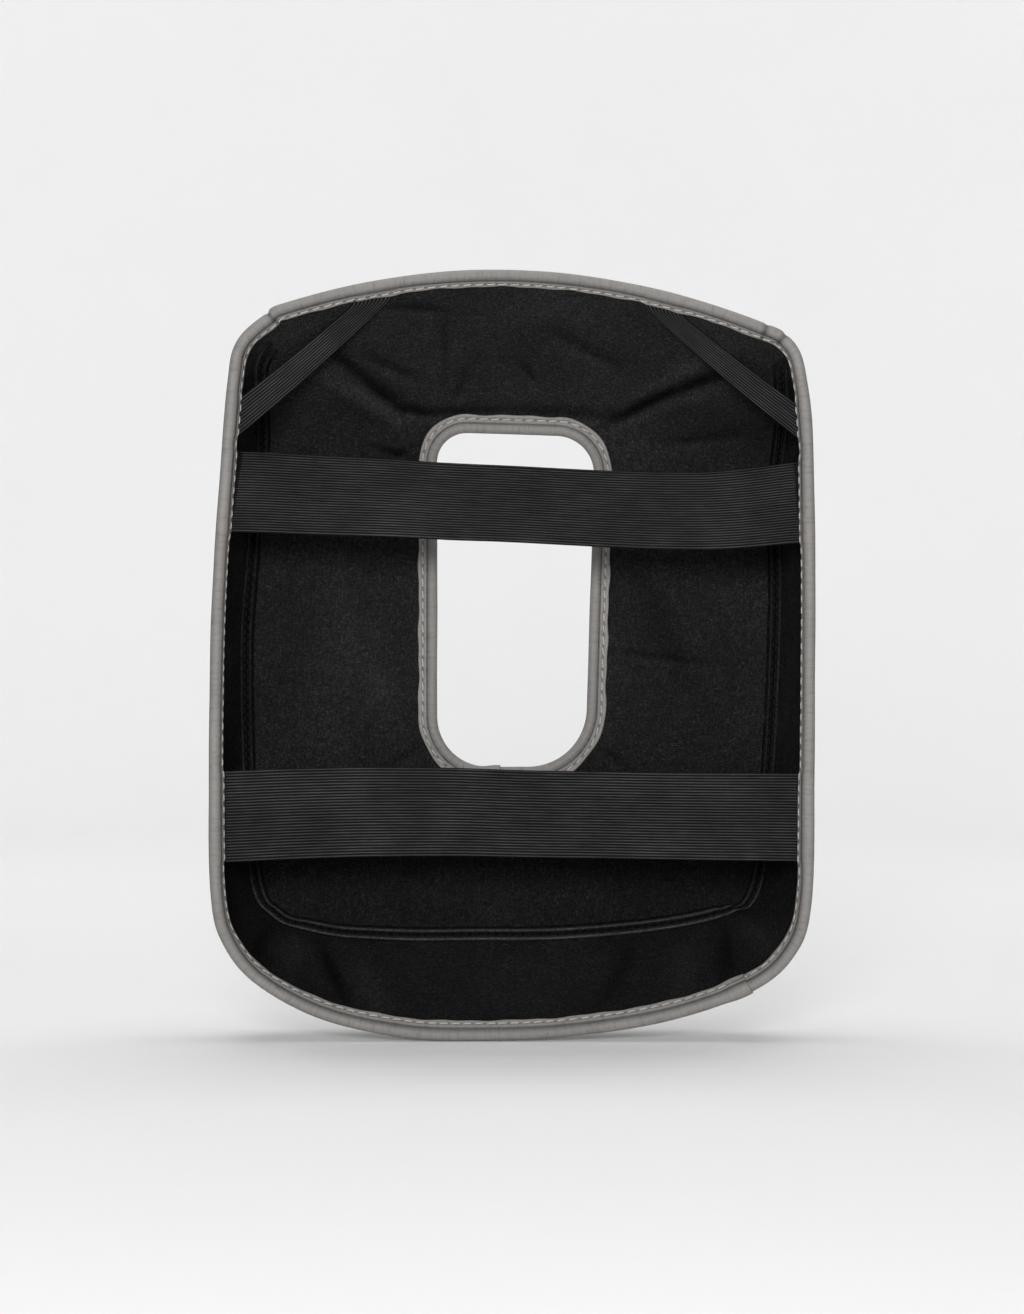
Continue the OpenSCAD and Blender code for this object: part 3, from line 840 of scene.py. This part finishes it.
def binding_section(scale, lift, swell, press, grow, ripple, turn=0.15):
    """Section of the folded strip as rows of w, h and painted light and shade: inner leg, bead, outer leg, then
    the shell's slot.

    scale narrows the legs, lift raises the inner leg, swell fattens the bead, press sinks the channel of the
    stitches, grow thickens the whole strip where its end lies over its start, ripple moves the edges of the
    legs and turn says how far round the bead its painted highlight runs."""
    r = BEAD_R + swell + grow
    c = -wall_t / 2
    f, m, g = LEG_W * scale + 0.3 * grow + ripple, STITCH_W * scale, GROOVE_W * scale
    # The third number is painted light and shade: darkest in the groove beside the bead and in the stitch
    # channel, darker at the leg's outer edge, a little lighter along the leg's top.
    leg = [(f - 0.15, 0.05, 0.6), (f + 0.06, 0.3 + grow, 0.7), (f + 0.03, 0.6 + grow, 0.95),
           (f - 0.22, 0.86 + grow, 1.1), (f - 0.7, 0.96 + grow, 1.12),
           (m + 0.85, 0.92 + grow - 0.3 * press, 1.05),
           (m + 0.42, 0.78 + grow - 0.8 * press, 0.8), (m, 0.68 + grow - press, 0.55),
           (m - 0.42, 0.78 + grow - 0.8 * press, 0.8), (m - 0.85, 0.94 + grow - 0.3 * press, 1.0),
           (g + 0.6, 0.96 + grow, 1.0), (g + 0.26, 0.72 + grow, 0.7), (g, 0.0 + grow, 0.25),
           (g - 0.3, 0.25 + grow, 0.4)]
    inner = [(w, h + lift, tone) for w, h, tone in leg]
    first = -math.asin(min(0.9, (g - 0.75) / r))
    # The bead's painted highlight runs round its front, with painted shade on both sides of it.
    bead = [(-r * math.sin(a), c + r * math.cos(a) + lift * max(0.0, math.cos(a)) ** 2 * 0.5,
             0.62 + 0.44 * max(0.0, math.sin(a + turn)))
            for a in np.linspace(first, math.pi - first, 24)]
    outer = [(w, 2 * c - h, tone) for w, h, tone in reversed(leg)]
    return np.array(inner + bead + outer + [(0.0, 2 * c - 0.05, 1.0), (0.0, 0.05 + lift, 1.0)])


def sweep_binding(name, place, total, lap_at, lap, node, scales, lifts, tucks, turn=0.15):
    """Sweeps the binding once round from lap_at, its end running over its own start by lap."""
    step = 0.8
    grids, tones = [], []
    for t in np.linspace(0, total + lap, int((total + lap) / step) + 1):
        q = lap_at + t
        press = 0.12 + 0.14 * math.cos(2 * math.pi * q / stitch_pitch)
        swell = 0.08 * math.sin(q / 23.0) + 0.06 * math.sin(q / 9.1 + 1.3)
        # crease paints shade into the tucks of the binding.
        crease = 1.0
        for centre, depth, wide in tucks:
            gap = (q - centre + total / 2) % total - total / 2
            dent = math.exp(-((gap / wide) ** 2))
            swell -= depth * dent
            crease = min(crease, 1.0 - 0.6 * dent * (depth > 0))
        grow = 0.85 * float(ease((t - total + 2.0) / 12.0))
        ripple = 0.28 * math.sin(q / 6.3) + 0.22 * math.sin(q / 2.9 + 1.0)
        sec = binding_section(scales(q % total), lifts(q % total), swell, press, grow, ripple, turn)
        grids.append(place(np.full(len(sec), q), sec[:, 0], sec[:, 1]))
        # end paints a line of shade along the strip's last ring, where it lies over its start.
        end = 0.4 if t > total + lap - 0.5 else 1.0
        tones.append(sec[:, 2] * crease * end)
    along = lap_at + np.linspace(0, total + lap, len(grids))
    across = lengths(binding_section(1.0, 0.0, 0.0, 0.0, 0.0, 0.0)[:, :2])
    obj = grid_object(name, np.array(grids), BINDING, uv=(along[:, None], across[None, :]),
                      shade=np.array(tones))
    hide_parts(node)
    return obj


def nearest_rim(x, z):
    return float(rim_s[np.argmin(np.hypot(edge[:, 0] - x, edge[:, 2] - z))])


def side_station(x_sign, z):
    return float(station_at_height(z, x_sign > 0))


# Where the elastics pass under the binding's inner leg it stands higher: centre round the rim and half length.
under = [(side_station(-1, 301), 24.0), (side_station(1, 296), 24.0), (side_station(-1, 124), 25.0),
         (side_station(1, 123), 25.0), (side_station(-1, 343), 11.0), (side_station(1, 341), 11.0),
         (nearest_rim(-75, 412), 11.0), (nearest_rim(83, 407), 11.0)]


def round_gap(s, centre, total):
    return abs((s - centre + total / 2) % total - total / 2)


def rim_lift(s):
    """Height that the inner leg gains over the elastics."""
    return max(0.75 * float(ease((half + 3.0 - round_gap(s, centre, rim_length)) / 6.0))
               for centre, half in under)


def rim_scale(s):
    """The legs look narrower along the top, where the edge is steep, and round the two upper corners."""
    into_top = s - corner_at + 40.0 if s > corner_at - 60 else 40.0 - s
    return 1.0 - 0.34 * float(ease(into_top / 30.0))


rim_tucks = [(0.4, 0.6, 1.2), (corner_at - 2.0, 0.6, 1.3), (corner_at + 8.0, 0.5, 1.3)]
rim_lap = nearest_rim(130, 31)
rim_binding = sweep_binding("rim_binding_strip", on_wall, rim_length, rim_lap - 16.0, 16.0, "rim_binding",
                            rim_scale, rim_lift, rim_tucks)
window_round = np.arange(0, window_length, 1.0)
window_spots, _ = at_window(window_round)
window_lap = float(window_round[np.argmin(np.hypot(window_spots[:, 0] + 6.5, window_spots[:, 1] - window_z
                                                   + window_h / 2))])
# The last argument, 1.1, turns the painted highlight on the window's bead round towards its face that looks out
# of the pocket.
window_binding = sweep_binding("window_binding_strip", on_window, window_length, window_lap - 12.0, 12.0,
                               "window_binding", lambda s: 0.92, lambda s: 0.0, [], 1.1)


def binding_stitches(name, place, total, outer, scales, lifts, node, seed):
    s = np.arange(0, total, 1.0)
    lift = np.array([lifts(v) for v in s])
    w = STITCH_W * np.array([scales(v) for v in s])
    h0 = np.full(s.shape, -wall_t - 0.62) if outer else 0.62 + lift
    pts = place(s, w, h0)
    nrm = place(s, w, h0 + (-1.0 if outer else 1.0)) - pts
    row = stitch_row(name, pts, nrm, PALE, seed=seed, width=0.95, height=0.8, slant=0.10,
                     fill=0.8)
    if node:
        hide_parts(node)
    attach(row, "root")


for place, total, scales, lifts, label in ((on_wall, rim_length, rim_scale, rim_lift, "rim"),
                                           (on_window, window_length, lambda s: 0.92, lambda s: 0.0, "window")):
    binding_stitches(label + "_thread", place, total, False, scales, lifts, label + "_binding_stitches", 11)
    binding_stitches(label + "_thread_outside", place, total, True, scales, lambda s: 0.0, None, 12)


# ---------------------------------------------------------------- elastics
ELASTIC_T = 1.25


def rib_profile(width, count):
    """Section of a ribbed band: offsets across it and over it, round the whole section."""
    per = 6
    selvedge = 1.1
    a = np.linspace(-0.5, 0.5, count * per + 1) * width
    inside = np.clip((width / 2 - np.abs(a)) / selvedge, 0, 1)
    ribs = 0.26 * np.abs(np.sin(np.pi * (a + width / 2) / (width / count))) * ease(inside * 1.2)
    front = ELASTIC_T / 2 * (0.55 + 0.45 * ease(inside)) + ribs
    across = np.concatenate([a, a[::-1]])
    over = np.concatenate([front, -front[::-1]])
    return across, over


def band_object(name, centre, width_dir, over_dir, widths, count, along_s):
    """A ribbed band along rows of centres, with its section turned to the given directions."""
    base_across, base_over = rib_profile(count * RIB_PITCH, count)
    nu = len(centre)
    share = base_across / (count * RIB_PITCH)
    pts = (centre[:, None, :] + width_dir[:, None, :] * (widths[:, None] * share[None, :])[..., None]
           + over_dir[:, None, :] * base_over[None, :, None])
    v = (share + 0.5) * count * RIB_PITCH
    return grid_object(name, pts, ELASTIC, uv=(along_s[:, None], v[None, :]))


def strand_paths(rows, depth_low, depth_high):
    """Lower and upper edge of a wide elastic, each in five parts from wall to wall: leg, bend, run, bend, leg.

    rows are x, z of the centre and the seen width; depth_low and depth_high are the depths of its lower and
    upper edges in the pocket."""
    rows = np.array(rows, float)
    dense = catmull(rows, 16)
    ends = []
    for sign in (-1, 1):
        row = rows[0] if sign < 0 else rows[-1]
        cols = []
        for half, depth in ((-0.5, depth_low), (0.5, depth_high)):
            z = row[1] + half * row[2]
            s = station_at_height(z, sign > 0)
            w_exit = depth - rim_y(np.array(z))
            leg = [on_wall(s, np.array(w), np.array(0.5)) for w in np.linspace(4.6, float(w_exit) - 2.0, 8)]
            cols.append((np.array(leg), on_wall(s, np.array(float(w_exit)), np.array(0.7))))
        ends.append(cols)
    low_run = np.column_stack([dense[:, 0], np.full(len(dense), depth_low), dense[:, 1] - dense[:, 2] / 2])
    high_run = np.column_stack([dense[:, 0], np.full(len(dense), depth_high), dense[:, 1] + dense[:, 2] / 2])
    edges = []
    for k, run in enumerate((low_run, high_run)):
        (leg_a, turn_a), (leg_b, turn_b) = ends[0][k], ends[1][k]
        inner = run[(run[:, 0] > turn_a[0] + 4.0) & (run[:, 0] < turn_b[0] - 4.0)]
        bez_a = bezier(leg_a[-1], turn_a, inner[0], 9)
        bez_b = bezier(inner[-1], turn_b, leg_b[-1], 9)
        edges.append((leg_a, bez_a, inner, bez_b, leg_b[::-1]))
    return edges


def bezier(a, b, c, n):
    t = np.linspace(0, 1, n + 2)[1:-1, None]
    return (1 - t) ** 2 * a + 2 * t * (1 - t) * b + t ** 2 * c


def fold_elastic(name, rows, depth_low, depth_high, count, nodes, seed):
    edges = strand_paths(rows, depth_low, depth_high)
    low = np.vstack(edges[0])
    n_run = len(edges[0][2])
    high_parts = edges[1]
    run_high = resample(high_parts[2], np.linspace(0, lengths(high_parts[2])[-1], n_run))
    high = np.vstack([high_parts[0], high_parts[1], run_high, high_parts[3], high_parts[4]])
    centre = (low + high) / 2
    mid = int(np.argmin(np.abs(centre[:, 0])))
    steps = 190
    d = lengths(centre)
    half_d = d[mid]
    at = np.unique(np.concatenate([np.linspace(0, half_d, steps), np.linspace(half_d, d[-1], steps)]))
    low, high, centre2 = resample(low, at, centre), resample(high, at, centre), resample(centre, at)
    width = np.linalg.norm(high - low, axis=1)
    wdir = (high - low) / width[:, None]
    run_dir = unit(np.gradient(centre2, axis=0))
    over = unit(np.cross(run_dir, wdir))
    over = unit(np.array([over[max(0, i - 1):i + 2].mean(axis=0) for i in range(len(over))]))
    ends = np.minimum(at, d[-1] - at)
    wave = 0.5 * wobble(centre2, 34.0, seed) * ease((ends - 14) / 20)
    centre2 = centre2 + over * wave[:, None]
    centre2[:, 2] += 0.35 * wobble(centre2, 45.0, seed + 2) * ease((ends - 14) / 20)
    cut = int(np.argmin(np.abs(at - half_d)))
    for side_name, part, x_end in (("left", slice(0, cut + 1), -1), ("right", slice(cut, None), 1)):
        obj = band_object(f"{name}_{side_name}_half", centre2[part], wdir[part], over[part], width[part], count,
                          at[part])
        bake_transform(obj)
        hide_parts(*nodes[side_name])


fold_elastic("upper_elastic",
             [[-152.0, 302.4, 45.6], [-60, 298.4, 43.6], [5, 295.2, 42.9], [100, 291.6, 43.4],
              [157.0, 296.2, 45.4]],
             9.5, 28.5, 31, {"left": ("upper_elastic", "upper_elastic_left_end"),
                             "right": ("upper_elastic", "upper_elastic_right_end")}, 21.0)
fold_elastic("lower_elastic",
             [[-157.5, 123.4, 50.2], [-80, 126.0, 49.2], [3, 125.2, 47.9], [75, 123.8, 47.6],
              [156.0, 123.0, 48.3]],
             11.0, 13.0, 31, {"left": ("lower_elastic", "lower_elastic_left_end"),
                              "right": ("lower_elastic", "lower_elastic_right_end")}, 33.0)


def corner_elastic(name, top_at, side_at, dip, count, nodes, seed):
    """A narrow elastic from under the top binding to under the side binding, as two halves."""
    def cut(s_a, s_b):
        lowers = []
        for s in (s_a, s_b):
            leg = [on_wall(s, np.array(w), np.array(0.3)) for w in np.linspace(4.2, 5.4, 6)]
            lowers.append((np.array(leg), on_wall(s, np.array(7.0), np.array(0.7))))
        return lowers
    tops, sides = cut(*top_at), cut(*side_at)
    paths = []
    for k in range(2):
        a_leg, a_turn = tops[k]
        b_leg, b_turn = sides[k]
        t = np.linspace(0.05, 0.95, 40)[:, None]
        run = a_turn + (b_turn - a_turn) * t + np.array([0, 1, 0]) * dip[k] * 4 * t * (1 - t)
        paths.append(np.vstack([a_leg, bezier(a_leg[-1], a_turn, run[0], 7), run,
                                bezier(run[-1], b_turn, b_leg[-1], 7), b_leg[::-1]]))
    low, high = paths
    centre = (low + high) / 2
    d = lengths(centre)
    steps = 110
    at = np.unique(np.concatenate([np.linspace(0, d[-1] / 2, steps), np.linspace(d[-1] / 2, d[-1], steps)]))
    low, high, c = resample(low, at, centre), resample(high, at, centre), resample(centre, at)
    wdir = high - low
    width = np.linalg.norm(wdir, axis=1)
    wdir = wdir / width[:, None]
    over = unit(np.cross(unit(np.gradient(c, axis=0)), wdir))
    cut_i = int(np.argmin(np.abs(at - d[-1] / 2)))
    ends = np.minimum(at, d[-1] - at)
    c = c + over * (0.35 * wobble(c, 20.0, seed) * ease((ends - 10) / 12))[:, None]
    i0, i1 = int(np.argmax(at > 12)), int(np.argmax(at > d[-1] - 12))
    for part_name, part, start in (("top", slice(0, cut_i + 1), i0), ("side", slice(cut_i, None), i1)):
        obj = band_object(f"{name}_{part_name}_half", c[part], wdir[part], over[part], width[part], count,
                          at[part])
        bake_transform(obj)
        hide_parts(*nodes[part_name])


def top_station(x):
    return nearest_rim(x, float(top_edge(np.array(float(x)))))


for label, top_xs, side_zs, dips, right in (("left", (-88.0, -66.5), (354.0, 332.0), (7.0, 11.0), False),
                                            ("right", (94.5, 73.0), (350.5, 330.5), (7.0, 11.0), True)):
    body = f"{label}_corner_elastic"
    corner_elastic(body, tuple(top_station(x) for x in top_xs),
                   tuple(float(station_at_height(z, right)) for z in side_zs), dips, 10,
                   {"top": (body, body + "_top_end"), "side": (body, body + "_side_end")}, 5.0)

for piece in (lining_panel, outer_panel, lining_gusset, outer_gusset, seam_ridge, rim_binding, window_binding):
    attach(piece, "root")
for obj in list(bpy.data.objects):
    if obj.name.startswith(("seam_thread", "rim_thread", "window_thread")):
        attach(obj, "root")

# ---------------------------------------------------------------- the sizes the cloth was cut to


def enclosed(path):
    x, z = path[:, 0], path[:, 1]
    return abs(np.dot(x, np.roll(z, -1)) - np.dot(z, np.roll(x, -1))) / 2


panel_w, panel_l = np.ptp(outline, axis=0)
panel_share = (enclosed(outline) - enclosed(window_spots)) / (panel_w * panel_l)
wall_widths = reach(gs, np.zeros(GUSSET_N))

# ---------------------------------------------------------------- stage, light and camera
low_z = cad_box[0][2]


def stage():
    """A round paper sweep: a floor that bends up into a wall all round."""
    mesh = bpy.data.meshes.new("studio_floor")
    bend, radius, centre_y, height, sides = 1.2, 4.0, -0.8, 5.0, 96
    profile = [(0.5, 0.0), (1.5, 0.0)]
    profile += [(radius - bend + bend * math.sin(a), bend - bend * math.cos(a))
                for a in np.linspace(0, math.pi / 2, 17)]
    profile.append((radius, height))
    turns = [2 * math.pi * k / sides for k in range(sides)]
    verts = [(r * math.cos(a), centre_y + r * math.sin(a), z + low_z) for r, z in profile for a in turns]
    faces = [list(range(sides))]
    for i in range(len(profile) - 1):
        low, high = i * sides, (i + 1) * sides
        faces += [(low + k, high + k, high + (k + 1) % sides, low + (k + 1) % sides) for k in range(sides)]
    mesh.from_pydata(verts, [], faces)
    mesh.polygons.foreach_set("use_smooth", [True] * len(mesh.polygons))
    obj = bpy.data.objects.new("studio_floor", mesh)
    bpy.context.scene.collection.objects.link(obj)
    n = Nodes("studio_paper")
    tone = n.noise(3.0, 2)
    colour = n.ramp(tone, [(0.0, grey(0.715)), (1.0, grey(0.735))])
    mat = n.finish(Base_Color=colour, Roughness=0.9, Specular_IOR_Level=0.1)
    obj.data.materials.append(mat)
    obj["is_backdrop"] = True


def area_light(name, place, target, size, power):
    data = bpy.data.lights.new(name, "AREA")
    data.shape = "DISK"
    data.size = size
    data.energy = power
    obj = bpy.data.objects.new(name, data)
    obj.location = place
    obj.rotation_euler = (Vector(target) - Vector(place)).to_track_quat("-Z", "Y").to_euler()
    obj.visible_camera = False
    bpy.context.scene.collection.objects.link(obj)
    return obj


stage()
world = bpy.data.worlds.new("soft_studio")
world.use_nodes = True
world.node_tree.nodes["Background"].inputs["Color"].default_value = (1, 1, 1, 1)
world.node_tree.nodes["Background"].inputs["Strength"].default_value = 0.07
bpy.context.scene.world = world
area_light("key", (-0.15, -2.5, 0.80), (0, 0, 0.22), 0.8, 56)
area_light("floor_wash", (0, 0.35, 3.0), (0, 0.5, 0), 2.4, 54)
area_light("backdrop_low", (-1.6, 1.3, 2.2), (-0.5, 3.2, 0.7), 1.6, 17.4)
area_light("backdrop_high", (1.6, 1.3, 2.2), (0.5, 3.2, 0.7), 1.6, 17.4)
area_light("front_wall_wash", (0, -2.6, 3.4), (0, -4.8, 0.8), 2.4, 16)

scene = bpy.context.scene
scene.view_settings.view_transform = "Standard"
camera_data = bpy.data.cameras.new("camera")
camera_data.lens = 85.4
camera_data.sensor_fit = "VERTICAL"
camera_data.sensor_height = 36.0
camera = bpy.data.objects.new("camera", camera_data)
camera.location = (0.0, -1.7, 0.2111)
camera.rotation_euler = (math.radians(90), 0, 0)
scene.collection.objects.link(camera)
scene.camera = camera

boxes = {"cad": cad_box, "visual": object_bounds()}
{name: [list(map(float, corner)) for corner in box] for name, box in boxes.items()}
